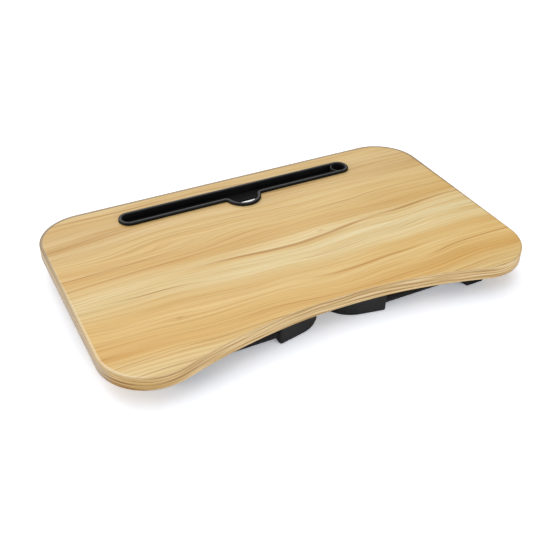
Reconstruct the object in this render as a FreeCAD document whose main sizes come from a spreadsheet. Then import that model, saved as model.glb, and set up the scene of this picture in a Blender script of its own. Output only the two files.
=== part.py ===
import FreeCAD, Part

import math
import os

import Sketcher

# A lap table with two fold-under legs, lying folded on the floor.
# Frame: X along the length, Y from the user's side (negative) to the far side, Z up,
# origin on the floor under the middle of the board. Lengths in millimetres, angles in degrees.

SIZES = {
    # board
    "BoardLength": 600.0,
    "BoardDepth": 365.0,
    "BoardThickness": 18.0,
    "LaminateThickness": 0.6,
    "BandThickness": 1.5,
    "BandEasing": 0.8,
    "CornerRadius": 65.0,
    "BayDepth": 36.5,
    "BayShoulderRadius": 80.0,
    # tablet slot insert
    "SlotLength": 371.0,
    "SlotWidth": 31.5,
    "SlotFromBack": 45.5,
    "RimWidth": 5.3,
    "RimHeight": 4.0,
    "RimRounding": 1.6,
    "LipOverhang": 3.0,
    "ChannelDepth": 8.0,
    "TroughFloor": 2.0,
    "NotchRadius": 27.0,
    "NotchSetback": 12.0,
    "NotchBlend": 4.0,
    "NotchWallRecess": 0.5,
    "WellWall": 2.0,
    "WellWallDrop": 1.2,
    "InsertClearance": 0.3,
    # folding legs
    "PivotFromCentre": 215.0,
    "LegLineFromEdge": 47.5,
    "AxisDrop": 15.0,
    "TubeDiameter": 16.0,
    "TubeWall": 1.2,
    "BendRadius": 56.0,
    "OpenAngle": 98.0,
    # corner shoes
    "ShoeBelowAxis": 14.0,
    "ShoeWidth": 23.0,
    "ShoeCollar": 2.5,
    "ShoeFlankAngle": 11.0,
    "ShoeNoseRadius": 46.0,
    "ShoeCornerRadius": 3.4,
    "ShoeRounding": 3.0,
    "SoleFromCentre": 8.0,
    "SoleTrim": 4.0,
    "FoldStopGap": 0.3,
    "ShoeBoreClearance": 0.05,
    # hinge knuckles
    "KnuckleWidth": 20.0,
    "KnuckleNeck": 12.0,
    "KnuckleEasing": 1.0,
    "SpigotLength": 25.0,
    "SpigotClearance": 0.1,
    # hinge brackets
    "FlangeInner": 50.0,
    "FlangeOuter": 30.0,
    "FlangeWidth": 56.0,
    "FlangeThickness": 3.0,
    "FlangeCorner": 7.0,
    "HousingWidth": 38.0,
    "HousingDepth": 26.0,
    "HousingInnerTop": 44.0,
    "HousingInnerBottom": 11.0,
    "HousingOuterTop": 19.0,
    "HousingOuterBottom": 15.5,
    "HousingRounding": 4.0,
    "CheekThickness": 4.0,
    "CheekEasing": 1.5,
    "StopClearance": 0.35,
    "BossDiameter": 15.0,
    "KnuckleSideClearance": 0.3,
    "RibThickness": 2.5,
    "RibReach": 8.0,
    "RibTip": 1.0,
    "RibSetback": 12.0,
    # hinge pins
    "PinDiameter": 6.0,
    "PinHeadDiameter": 10.0,
    "PinHeadThickness": 1.8,
    "PinSeatClearance": 0.03,
    "PinRunningClearance": 0.08,
    "PinRecessDepth": 2.2,
    "PinRecessClearance": 0.4,
    "RetainerThickness": 0.8,
    # bracket screws
    "ScrewInner": 40.0,
    "ScrewOuter": 21.0,
    "ScrewSpread": 47.0,
    "ScrewDiameter": 3.8,
    "ScrewHeadDiameter": 7.4,
    "ScrewHeadHeight": 2.2,
    "ScrewLength": 14.0,
    "ScrewHeadRounding": 1.2,
    "ScrewTip": 1.2,
    "ScrewHoleClearance": 0.1,
}

SHEET = "Sizes"
ORIGIN = (-1, 1)
CUT_MARGIN = 5.0


def make_sheet(document):
    """The sheet that every piece reads its sizes from."""
    sheet = document.addObject("Spreadsheet::Sheet", SHEET)
    for row, (name, number) in enumerate(SIZES.items(), start=1):
        sheet.set(f"A{row}", name)
        sheet.set(f"B{row}", str(number))
        sheet.setAlias(f"B{row}", name)
    document.recompute()
    return sheet


def size(name):
    """A size as a plain number, for the first sketch positions."""
    return SIZES[name]


def cell(formula):
    """Write a formula of size names as one of sheet cells, such as BoardDepth / 2."""
    words = formula.replace("(", "( ").replace(")", " )").split()
    return " ".join(f"{SHEET}.{word}" if word in SIZES else word for word in words)


# Heights that several pieces share.
UNDERSIDE = "ShoeBelowAxis + AxisDrop"
BOARD_TOP = f"{UNDERSIDE} + BoardThickness"

# How far from the table's middle line the hinges and the sides of both legs lie.
LEG_LINE = "( BoardDepth / 2 - LegLineFromEdge )"


def make_body(document, label, x="0", y="0", z="0"):
    """An empty piece, placed by three formulas."""
    body = document.addObject("PartDesign::Body", label)
    body.Label = label
    for axis, formula in zip("xyz", (x, y, z)):
        body.setExpression(f"Placement.Base.{axis}", f"{cell(formula)} + 0")
    return body


def make_sketch(body, name, plane, offset="0"):
    """A sketch on one of the body's own origin planes, moved along its normal."""
    sketch = body.newObject("Sketcher::SketchObject", f"{body.Label}_{name}")
    support = next(item for item in body.Origin.OriginFeatures if item.Role == plane)
    sketch.AttachmentSupport = (support, [""])
    sketch.MapMode = "FlatFace"
    sketch.setExpression("AttachmentOffset.Base.z", f"{cell(offset)} + 0")
    return sketch


def bind(sketch, kind, place, number, formula):
    """Add a dimension and tie it to a formula."""
    index = sketch.addConstraint(Sketcher.Constraint(kind, *place, number))
    sketch.setExpression(f"Constraints[{index}]", cell(formula))


def join(sketch, kind, pairs):
    """Join ends of neighbouring lines and arcs, tangent or just coincident."""
    for first, second in pairs:
        sketch.addConstraint(Sketcher.Constraint(kind, *first, *second))


def arc(x, y, radius, start, end):
    """An arc about a point, its angles in degrees, anticlockwise."""
    circle = Part.Circle(FreeCAD.Vector(x, y, 0), FreeCAD.Vector(0, 0, 1), radius)
    return Part.ArcOfCircle(circle, math.radians(start), math.radians(end))


def line(x1, y1, x2, y2):
    """A straight line between two points."""
    return Part.LineSegment(FreeCAD.Vector(x1, y1, 0), FreeCAD.Vector(x2, y2, 0))


def draw_polygon(sketch, corners):
    """A closed outline of straight lines; each corner is a pair of formulas."""
    count = len(corners)
    first = sketch.GeometryCount
    turn = 2 * math.pi / count
    spots = [(10 * math.cos(turn * i), 10 * math.sin(turn * i)) for i in range(count)]
    for index, spot in enumerate(spots):
        sketch.addGeometry(line(*spot, *spots[(index + 1) % count]))
    ends = [((first + i, 2), (first + (i + 1) % count, 1)) for i in range(count)]
    join(sketch, "Coincident", ends)
    for index, (x, y) in enumerate(corners):
        corner = (first + index, 1)
        bind(sketch, "DistanceX", (*ORIGIN, *corner), spots[index][0], x)
        bind(sketch, "DistanceY", (*ORIGIN, *corner), spots[index][1], y)


def draw_circle(sketch, x, y, diameter):
    """A circle; its centre and its diameter are formulas."""
    circle = Part.Circle(FreeCAD.Vector(1, 1, 0), FreeCAD.Vector(0, 0, 1), 2)
    index = sketch.addGeometry(circle)
    bind(sketch, "DistanceX", (*ORIGIN, index, 3), 1, x)
    bind(sketch, "DistanceY", (*ORIGIN, index, 3), 1, y)
    bind(sketch, "Diameter", (index,), 4, diameter)


def pad(body, sketch, length, midplane=False, reverse=False):
    """Raise a sketch into a solid."""
    feature = body.newObject("PartDesign::Pad", f"{sketch.Name}_pad")
    feature.Profile = sketch
    feature.setExpression("Length", cell(length))
    feature.Midplane = midplane
    feature.Reversed = reverse
    body.Document.recompute()
    return feature


def pocket(body, sketch, length, midplane=False, reverse=False):
    """Cut a sketch out of the solid, and make sure that it cut something."""
    before = body.Shape.Volume
    feature = body.newObject("PartDesign::Pocket", f"{sketch.Name}_pocket")
    feature.Profile = sketch
    feature.setExpression("Length", cell(length))
    feature.Midplane = midplane
    feature.Reversed = reverse
    body.Document.recompute()
    if body.Shape.Volume >= before:
        raise ValueError(f"{feature.Name} cuts nothing")
    return feature


def round_edges(body, radius, wanted):
    """Round the edges that a test picks."""
    solid = body.Tip
    edges = enumerate(solid.Shape.Edges, start=1)
    names = [f"Edge{number}" for number, edge in edges if wanted(edge)]
    if not names:
        raise ValueError(f"{body.Label} has no such edge to round")
    feature = body.newObject("PartDesign::Fillet", f"{body.Label}_rounding_{len(body.Group)}")
    feature.Base = (solid, names)
    feature.setExpression("Radius", cell(radius))
    body.Document.recompute()
    if feature.Shape.isNull():
        raise ValueError(f"{feature.Name} rounds nothing")
    return feature


def bevel_edges(body, length, wanted):
    """Bevel the edges that a test picks."""
    solid = body.Tip
    edges = enumerate(solid.Shape.Edges, start=1)
    names = [f"Edge{number}" for number, edge in edges if wanted(edge)]
    if not names:
        raise ValueError(f"{body.Label} has no such edge to bevel")
    feature = body.newObject("PartDesign::Chamfer", f"{body.Label}_bevel_{len(body.Group)}")
    feature.Base = (solid, names)
    feature.setExpression("Size", cell(length))
    body.Document.recompute()
    if feature.Shape.isNull():
        raise ValueError(f"{feature.Name} bevels nothing")
    return feature


def lies_at_height(edge, height):
    """True for an edge that lies in one level plane."""
    box = edge.BoundBox
    return abs(box.ZMin - height) < 1e-4 and abs(box.ZMax - height) < 1e-4


def mirror(document, source, label, normal):
    """The same piece on the other side of the table."""
    twin = document.addObject("Part::Mirroring", label)
    twin.Label = label
    twin.Source = source
    twin.Base = (0, 0, 0)
    twin.Normal = normal
    return twin


# --- Board -------------------------------------------------------------------------------


def draw_board_outline(sketch, inset="0", inset_size=0.0):
    """The board's outline: round corners and a shallow bay on the user's side.

    The bay is one large hollow arc that runs out into a convex shoulder at each side,
    and the shoulders meet the corner arcs on the front line.
    """
    corner = size("CornerRadius") - inset_size
    shoulder = size("BayShoulderRadius") - inset_size
    half_length = size("BoardLength") / 2 - inset_size
    front = inset_size - size("BoardDepth") / 2
    bay_half = size("BoardLength") / 2 - size("CornerRadius")
    bay_depth = size("BayDepth")
    sweep = 2 * math.degrees(math.atan2(bay_depth, bay_half))
    bay_radius = (bay_half ** 2 + bay_depth ** 2) / (2 * bay_depth) - shoulder
    side = -front - corner
    pieces = [
        arc(0, front + bay_depth - bay_radius, bay_radius, 90 - sweep, 90 + sweep),
        arc(bay_half, front + shoulder, shoulder, 270 - sweep, 270),
        arc(bay_half, front + corner, corner, 270, 360),
        line(half_length, -side, half_length, side),
        arc(bay_half, side, corner, 0, 90),
        line(bay_half, -front, -bay_half, -front),
        arc(-bay_half, side, corner, 90, 180),
        line(-half_length, side, -half_length, -side),
        arc(-bay_half, -side, corner, 180, 270),
        arc(-bay_half, front + shoulder, shoulder, 270, 270 + sweep),
    ]
    for piece in pieces:
        sketch.addGeometry(piece)
    bay, right_shoulder, right_front, right_side, right_back = range(5)
    back, left_back, left_side, left_front, left_shoulder = range(5, 10)
    join(sketch, "Tangent", [((bay, 1), (right_shoulder, 1)), ((left_shoulder, 2), (bay, 2))])
    round_trip = range(right_shoulder, left_shoulder)
    join(sketch, "Tangent", [((i, 2), (i + 1, 1)) for i in round_trip])
    sketch.addConstraint(Sketcher.Constraint("Vertical", right_side))
    sketch.addConstraint(Sketcher.Constraint("Vertical", left_side))
    sketch.addConstraint(Sketcher.Constraint("Horizontal", back))
    sketch.addConstraint(Sketcher.Constraint("Vertical", right_shoulder, 3, right_front, 3))
    sketch.addConstraint(Sketcher.Constraint("Vertical", left_shoulder, 3, left_front, 3))
    for index in (right_front, right_back, left_back, left_front):
        bind(sketch, "Radius", (index,), corner, f"CornerRadius - {inset}")
    for index in (right_shoulder, left_shoulder):
        bind(sketch, "Radius", (index,), shoulder, f"BayShoulderRadius - {inset}")
    reach = "( BoardLength / 2 - CornerRadius )"
    bay_formula = f"( {reach} ^ 2 + BayDepth ^ 2 ) / ( 2 * BayDepth ) - BayShoulderRadius + {inset}"
    bind(sketch, "Radius", (bay,), bay_radius, bay_formula)
    place = (*ORIGIN, right_side, 1)
    bind(sketch, "DistanceX", place, half_length, f"BoardLength / 2 - {inset}")
    place = (*ORIGIN, left_side, 1)
    bind(sketch, "DistanceX", place, -half_length, f"{inset} - BoardLength / 2")
    bind(sketch, "DistanceY", (*ORIGIN, back, 1), -front, f"BoardDepth / 2 - {inset}")
    for index in (right_front, left_shoulder):
        place = (*ORIGIN, index, 1)
        bind(sketch, "DistanceY", place, front, f"{inset} - BoardDepth / 2")


SLOT_LINE = "BoardDepth / 2 - SlotFromBack"


def draw_slot_outline(sketch, inset, inset_size):
    """A long round-ended slot with a half-round notch in the middle of its front side.

    Two small arcs blend the notch into the front side. The inset draws it smaller all round.
    """
    slot_y = size("BoardDepth") / 2 - size("SlotFromBack")
    end_x = (size("SlotLength") - size("SlotWidth")) / 2
    half = size("SlotWidth") / 2 - inset_size
    front = slot_y - half
    notch_y = slot_y - size("NotchSetback")
    notch = size("NotchRadius") - inset_size
    blend = size("NotchBlend") + inset_size
    drop = notch_y - (front - blend)
    blend_x = math.sqrt((notch + blend) ** 2 - drop ** 2)
    touch = math.degrees(math.atan2(drop, blend_x))
    pieces = [
        arc(end_x, slot_y, half, 270, 450),
        line(end_x, slot_y + half, -end_x, slot_y + half),
        arc(-end_x, slot_y, half, 90, 270),
        line(-end_x, front, -blend_x, front),
        arc(-blend_x, front - blend, blend, touch, 90),
        arc(0, notch_y, notch, 180 + touch, 360 - touch),
        arc(blend_x, front - blend, blend, 90, 180 - touch),
        line(blend_x, front, end_x, front),
    ]
    for piece in pieces:
        sketch.addGeometry(piece)
    right_end, back, left_end, front_left, blend_left, bowl, blend_right, front_right = range(8)
    join(sketch, "Tangent", [
        ((right_end, 2), (back, 1)),
        ((back, 2), (left_end, 1)),
        ((left_end, 2), (front_left, 1)),
        ((front_left, 2), (blend_left, 2)),
        ((blend_left, 1), (bowl, 1)),
        ((bowl, 2), (blend_right, 2)),
        ((blend_right, 1), (front_right, 1)),
        ((front_right, 2), (right_end, 1)),
    ])
    for index in (back, front_left, front_right):
        sketch.addConstraint(Sketcher.Constraint("Horizontal", index))
    end_formula = "( SlotLength - SlotWidth ) / 2"
    bind(sketch, "Radius", (right_end,), half, f"SlotWidth / 2 - {inset}")
    bind(sketch, "DistanceX", (*ORIGIN, right_end, 3), end_x, end_formula)
    bind(sketch, "DistanceY", (*ORIGIN, right_end, 3), slot_y, SLOT_LINE)
    bind(sketch, "DistanceX", (*ORIGIN, left_end, 3), -end_x, f"0 - {end_formula}")
    bind(sketch, "DistanceY", (*ORIGIN, left_end, 3), slot_y, SLOT_LINE)
    for index in (blend_left, blend_right):
        bind(sketch, "Radius", (index,), blend, f"NotchBlend + {inset}")
    bind(sketch, "Radius", (bowl,), notch, f"NotchRadius - {inset}")
    sketch.addConstraint(Sketcher.Constraint("PointOnObject", bowl, 3, -2))
    bind(sketch, "DistanceY", (*ORIGIN, bowl, 3), notch_y, f"{SLOT_LINE} - NotchSetback")


def cut_slot(body, thickness):
    """Rout the slot through a layer of the board."""
    sketch = make_sketch(body, "slot", "XY_Plane")
    draw_slot_outline(
        sketch,
        "( LipOverhang - InsertClearance )",
        size("LipOverhang") - size("InsertClearance"),
    )
    pocket(body, sketch, thickness, reverse=True)


def draw_screw_circles(sketch, diameter):
    """Four circles, one for each screw of one bracket, about the bracket's pivot."""
    for x in ("ScrewOuter", "0 - ScrewInner"):
        for y in ("ScrewSpread / 2", "0 - ScrewSpread / 2"):
            draw_circle(sketch, x, y, diameter)


def drill_screw_holes(body, depth):
    """Drill the holes for all four brackets upwards from the body's lower face."""
    for side_name, side in (("right", ""), ("left", "0 - ")):
        for row_name, row in (("back", ""), ("front", "0 - ")):
            sketch = make_sketch(body, f"holes_{row_name}_{side_name}", "XY_Plane")
            for reach in ("+ ScrewOuter", "- ScrewInner"):
                for spread in ("+", "-"):
                    draw_circle(
                        sketch,
                        f"{side}( PivotFromCentre {reach} )",
                        f"{row}( {LEG_LINE} {spread} ScrewSpread / 2 )",
                        "ScrewDiameter + 2 * ScrewHoleClearance",
                    )
            pocket(body, sketch, depth, reverse=True)


def make_board_layer(document, label, z, thickness):
    """One layer of the board, with its slot routed out."""
    body = make_body(document, label, z=z)
    sketch = make_sketch(body, "outline", "XY_Plane")
    draw_board_outline(sketch, "BandThickness", size("BandThickness"))
    pad(body, sketch, thickness)
    cut_slot(body, thickness)
    return body


def make_board(document):
    """The fibreboard core between its two laminate faces."""
    core_bottom = f"{UNDERSIDE} + LaminateThickness"
    core_thickness = "BoardThickness - 2 * LaminateThickness"
    core = make_board_layer(document, "board_core", core_bottom, core_thickness)
    hole_depth = "ScrewLength - FlangeThickness - LaminateThickness + ScrewHoleClearance"
    drill_screw_holes(core, hole_depth)
    top_face = f"{BOARD_TOP} - LaminateThickness"
    top = make_board_layer(document, "top_laminate", top_face, "LaminateThickness")
    bottom = make_board_layer(document, "underside_laminate", UNDERSIDE, "LaminateThickness")
    drill_screw_holes(bottom, "LaminateThickness")
    return [core, top, bottom]


def make_edge_band(document):
    """The strip that is glued round the whole edge, with its two arrises eased."""
    body = make_body(document, "edge_band", z=UNDERSIDE)
    outside = make_sketch(body, "outside", "XY_Plane")
    draw_board_outline(outside)
    pad(body, outside, "BoardThickness")
    round_edges(body, "BandEasing", lambda edge: (
        lies_at_height(edge, 0) or lies_at_height(edge, size("BoardThickness"))
    ))
    inside = make_sketch(body, "inside", "XY_Plane")
    draw_board_outline(inside, "BandThickness", size("BandThickness"))
    pocket(body, inside, "BoardThickness", reverse=True)
    return body


# --- Tablet slot insert ------------------------------------------------------------------


def draw_notch_bowl(sketch, inset, inset_size):
    """The part of the notch that stands in front of the channel: an arc and its chord."""
    slot_y = size("BoardDepth") / 2 - size("SlotFromBack")
    notch_y = slot_y - size("NotchSetback")
    chord_y = slot_y - size("SlotWidth") / 2 + size("RimWidth")
    radius = size("NotchRadius") - inset_size
    rise = math.degrees(math.asin((chord_y - notch_y) / radius))
    half = radius * math.cos(math.radians(rise))
    sketch.addGeometry(arc(0, notch_y, radius, 180 - rise, 360 + rise))
    sketch.addGeometry(line(half, chord_y, -half, chord_y))
    join(sketch, "Coincident", [((0, 2), (1, 1)), ((1, 2), (0, 1))])
    sketch.addConstraint(Sketcher.Constraint("Horizontal", 1))
    sketch.addConstraint(Sketcher.Constraint("PointOnObject", 0, 3, -2))
    bind(sketch, "Radius", (0,), radius, f"NotchRadius - {inset}")
    bind(sketch, "DistanceY", (*ORIGIN, 0, 3), notch_y, f"{SLOT_LINE} - NotchSetback")
    bind(sketch, "DistanceY", (*ORIGIN, 1, 1), chord_y, f"{SLOT_LINE} - SlotWidth / 2 + RimWidth")


def draw_well_wall(sketch):
    """A half ring that closes off the round pen well at the right end of the channel."""
    slot_y = size("BoardDepth") / 2 - size("SlotFromBack")
    centre_x = (size("SlotLength") - size("SlotWidth")) / 2
    inner = size("SlotWidth") / 2 - size("RimWidth")
    outer = inner + size("WellWall")
    sketch.addGeometry(arc(centre_x, slot_y, inner, 90, 270))
    sketch.addGeometry(line(centre_x, slot_y - inner, centre_x, slot_y - outer))
    sketch.addGeometry(arc(centre_x, slot_y, outer, 90, 270))
    sketch.addGeometry(line(centre_x, slot_y + outer, centre_x, slot_y + inner))
    ends = [((0, 2), (1, 1)), ((1, 2), (2, 2)), ((2, 1), (3, 1)), ((3, 2), (0, 1))]
    join(sketch, "Coincident", ends)
    sketch.addConstraint(Sketcher.Constraint("Coincident", 0, 3, 2, 3))
    sketch.addConstraint(Sketcher.Constraint("Vertical", 1))
    sketch.addConstraint(Sketcher.Constraint("Vertical", 3))
    sketch.addConstraint(Sketcher.Constraint("Vertical", 0, 3, 0, 1))
    sketch.addConstraint(Sketcher.Constraint("Vertical", 0, 3, 0, 2))
    bind(sketch, "Radius", (0,), inner, "SlotWidth / 2 - RimWidth")
    bind(sketch, "Radius", (2,), outer, "SlotWidth / 2 - RimWidth + WellWall")
    bind(sketch, "DistanceX", (*ORIGIN, 0, 3), centre_x, "( SlotLength - SlotWidth ) / 2")
    bind(sketch, "DistanceY", (*ORIGIN, 0, 3), slot_y, SLOT_LINE)


def make_slot_insert(document):
    """The moulded insert: a raised rim, a long trough, an open notch and a pen well.

    Its own zero height is the board's top face, which the rim's lip lies on.
    """
    body = make_body(document, "tablet_slot_insert", z=BOARD_TOP)
    lip = make_sketch(body, "lip", "XY_Plane")
    draw_slot_outline(lip, "0", 0.0)
    pad(body, lip, "RimHeight")
    trough = make_sketch(body, "trough", "XY_Plane")
    draw_slot_outline(trough, "LipOverhang", size("LipOverhang"))
    pad(body, trough, "ChannelDepth + TroughFloor", reverse=True)
    notch_wall = make_sketch(body, "notch_wall", "XY_Plane")
    draw_notch_bowl(notch_wall, "LipOverhang", size("LipOverhang"))
    pad(body, notch_wall, "BoardThickness - NotchWallRecess", reverse=True)
    channel = make_sketch(body, "channel", "XY_Plane", "RimHeight")
    draw_slot_outline(channel, "RimWidth", size("RimWidth"))
    pocket(body, channel, "ChannelDepth + RimHeight")
    notch_hole = make_sketch(body, "notch_hole", "XY_Plane", "RimHeight")
    draw_notch_bowl(notch_hole, "RimWidth", size("RimWidth"))
    pocket(body, notch_hole, "RimHeight + BoardThickness")
    round_edges(body, "RimRounding", lambda edge: lies_at_height(edge, size("RimHeight")))
    wall = make_sketch(body, "well_wall", "XY_Plane", "0 - ChannelDepth")
    draw_well_wall(wall)
    pad(body, wall, "ChannelDepth + RimHeight - WellWallDrop")
    return body


# --- Hinges ------------------------------------------------------------------------------


def draw_flange(sketch):
    """The bracket's screw flange, a rectangle with round corners."""
    left = -size("FlangeInner")
    right = size("FlangeOuter")
    half = size("FlangeWidth") / 2
    corner = size("FlangeCorner")
    pieces = [
        line(left + corner, -half, right - corner, -half),
        arc(right - corner, corner - half, corner, 270, 360),
        line(right, corner - half, right, half - corner),
        arc(right - corner, half - corner, corner, 0, 90),
        line(right - corner, half, left + corner, half),
        arc(left + corner, half - corner, corner, 90, 180),
        line(left, half - corner, left, corner - half),
        arc(left + corner, corner - half, corner, 180, 270),
    ]
    for piece in pieces:
        sketch.addGeometry(piece)
    count = len(pieces)
    join(sketch, "Tangent", [((i, 2), ((i + 1) % count, 1)) for i in range(count)])
    front, right_side, back, left_side = 0, 2, 4, 6
    sketch.addConstraint(Sketcher.Constraint("Horizontal", front))
    sketch.addConstraint(Sketcher.Constraint("Horizontal", back))
    sketch.addConstraint(Sketcher.Constraint("Vertical", right_side))
    sketch.addConstraint(Sketcher.Constraint("Vertical", left_side))
    for index in (1, 3, 5, 7):
        bind(sketch, "Radius", (index,), corner, "FlangeCorner")
    bind(sketch, "DistanceX", (*ORIGIN, left_side, 1), left, "0 - FlangeInner")
    bind(sketch, "DistanceX", (*ORIGIN, right_side, 1), right, "FlangeOuter")
    bind(sketch, "DistanceY", (*ORIGIN, front, 1), -half, "0 - FlangeWidth / 2")
    bind(sketch, "DistanceY", (*ORIGIN, back, 1), half, "FlangeWidth / 2")


def make_bracket(document, label):
    """The moulded hinge bracket, screwed to the board's underside.

    Its own zero lies on the underside, straight above the pivot, and X points outwards.
    Two cheeks carry the pin, and a sloping end wall stops the leg when it is open.
    """
    body = make_body(
        document, label, x="PivotFromCentre", y=f"0 - {LEG_LINE}", z=UNDERSIDE)
    flange = make_sketch(body, "flange", "XY_Plane")
    draw_flange(flange)
    pad(body, flange, "FlangeThickness", reverse=True)

    housing = make_sketch(body, "housing", "XZ_Plane")
    draw_polygon(housing, [
        ("0 - HousingInnerTop", "0"),
        ("0 - HousingInnerBottom", "0 - HousingDepth"),
        ("HousingOuterBottom", "0 - HousingDepth"),
        ("HousingOuterTop", "0"),
    ])
    pad(body, housing, "HousingWidth", midplane=True)
    round_edges(body, "HousingRounding", is_outer_housing_corner)
    round_edges(body, "CheekEasing", is_cheek_bottom)

    stop = "( TubeDiameter / 2 + StopClearance ) / cos( OpenAngle - 90 )"
    cavity = make_sketch(body, "cavity", "XZ_Plane")
    draw_polygon(cavity, [
        ("0 - HousingInnerTop - RibReach", "0 - FlangeThickness"),
        ("0 - HousingInnerTop - RibReach", f"0 - HousingDepth - {CUT_MARGIN}"),
        (slope_at(stop, f"( HousingDepth + {CUT_MARGIN} )"), f"0 - HousingDepth - {CUT_MARGIN}"),
        (slope_at(stop, "FlangeThickness"), "0 - FlangeThickness"),
    ])
    pocket(body, cavity, "HousingWidth - 2 * CheekThickness", midplane=True)

    boss = make_sketch(body, "boss", "XZ_Plane")
    draw_circle(boss, "0", "0 - AxisDrop", "BossDiameter")
    pad(body, boss, "HousingWidth - CheekThickness", midplane=True)
    throat = make_sketch(body, "throat", "XZ_Plane")
    draw_circle(throat, "0", "0 - AxisDrop", "TubeDiameter + 2 * StopClearance")
    pocket(body, throat, "KnuckleWidth + 2 * KnuckleSideClearance", midplane=True)

    bore = make_sketch(body, "bore", "XZ_Plane")
    draw_circle(bore, "0", "0 - AxisDrop", "PinDiameter + 2 * PinSeatClearance")
    pocket(body, bore, "2 * HousingWidth", midplane=True)
    for name, side, reverse in (("front", "", False), ("back", "0 - ", True)):
        recess = make_sketch(body, f"recess_{name}", "XZ_Plane", f"{side}HousingWidth / 2")
        draw_circle(recess, "0", "0 - AxisDrop", "PinHeadDiameter + 2 * PinRecessClearance")
        pocket(body, recess, "PinRecessDepth", reverse=reverse)

    holes = make_sketch(body, "screw_holes", "XY_Plane")
    draw_screw_circles(holes, "ScrewDiameter + 2 * ScrewHoleClearance")
    pocket(body, holes, "FlangeThickness")
    add_side_ribs(body)
    return body


def slope_at(stop, depth):
    """Where the end wall's inner face stands at a depth below the underside."""
    return f"{stop} + ( {depth} - AxisDrop ) * tan( OpenAngle - 90 )"


def is_outer_housing_corner(edge):
    """The long edge across the housing where its end wall meets its bottom."""
    box = edge.BoundBox
    deep = abs(box.ZMax + size("HousingDepth")) < 1e-4 and box.YLength > size("HousingWidth") - 1
    return deep and box.XMin > 0


def is_cheek_bottom(edge):
    """The two long edges under the cheeks' outer faces, and the arcs that they run into."""
    box = edge.BoundBox
    on_side = abs(abs(box.YMin) - size("HousingWidth") / 2) < 1e-4 and box.YLength < 1e-4
    return on_side and box.ZMax < -size("HousingDepth") / 2 and box.XMax > 0


def add_side_ribs(body):
    """Gussets that stiffen the cheeks and the end wall against the flange."""
    for name, side in (("front", "0 - "), ("back", "")):
        rib = make_sketch(body, f"rib_{name}", "YZ_Plane", "0 - RibSetback")
        draw_polygon(rib, [
            (f"{side}( HousingWidth / 2 + RibReach )", "0 - FlangeThickness"),
            (f"{side}( HousingWidth / 2 - CheekThickness / 2 )", "0 - FlangeThickness"),
            (f"{side}( HousingWidth / 2 - CheekThickness / 2 )", "0 - HousingDepth / 2"),
            (f"{side}( HousingWidth / 2 + RibTip )", "0 - HousingDepth / 2"),
        ])
        pad(body, rib, "RibThickness", midplane=True)


def make_pin(document, label):
    """The hinge pin: a headed steel rivet that sits in both cheeks."""
    body = make_body(
        document, label, x="PivotFromCentre", y=f"0 - {LEG_LINE}", z="ShoeBelowAxis")
    seat = "( HousingWidth / 2 - PinRecessDepth )"
    head = make_sketch(body, "head", "XZ_Plane", seat)
    draw_circle(head, "0", "0", "PinHeadDiameter")
    pad(body, head, "PinHeadThickness")
    shank = make_sketch(body, "shank", "XZ_Plane", seat)
    draw_circle(shank, "0", "0", "PinDiameter")
    pad(body, shank, f"2 * {seat} + PinHeadThickness", reverse=True)
    return body


def make_retainer(document, label):
    """The push-on washer that keeps the pin in place."""
    seat = "( HousingWidth / 2 - PinRecessDepth )"
    body = make_body(
        document, label, x="PivotFromCentre", y=f"0 - {LEG_LINE}", z="ShoeBelowAxis")
    washer = make_sketch(body, "washer", "XZ_Plane", f"0 - {seat}")
    draw_circle(washer, "0", "0", "PinHeadDiameter")
    draw_circle(washer, "0", "0", "PinDiameter + 2 * PinSeatClearance")
    pad(body, washer, "RetainerThickness", reverse=True)
    return body


def make_screws(document, label):
    """The four pan-head screws of one bracket, as four separate solids."""
    body = make_body(
        document, label, x="PivotFromCentre", y=f"0 - {LEG_LINE}",
        z=f"{UNDERSIDE} - FlangeThickness")
    body.AllowCompound = True
    shanks = make_sketch(body, "shanks", "XY_Plane")
    draw_screw_circles(shanks, "ScrewDiameter")
    pad(body, shanks, "ScrewLength")
    heads = make_sketch(body, "heads", "XY_Plane")
    draw_screw_circles(heads, "ScrewHeadDiameter")
    pad(body, heads, "ScrewHeadHeight", reverse=True)
    bevel_edges(body, "ScrewTip", lambda edge: lies_at_height(edge, size("ScrewLength")))
    round_edges(body, "ScrewHeadRounding", lambda edge: (
        lies_at_height(edge, -size("ScrewHeadHeight"))
    ))
    return body


# --- Legs --------------------------------------------------------------------------------

CROSSBAR_X = "SoleFromCentre + ShoeWidth / 2"


def leg_numbers():
    """Positions of one leg's bends, for the first sketch positions."""
    bar = size("SoleFromCentre") + size("ShoeWidth") / 2
    bend_x = bar + size("BendRadius")
    half = size("BoardDepth") / 2 - size("LegLineFromEdge")
    return bar, bend_x, half, half - size("BendRadius")


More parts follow.
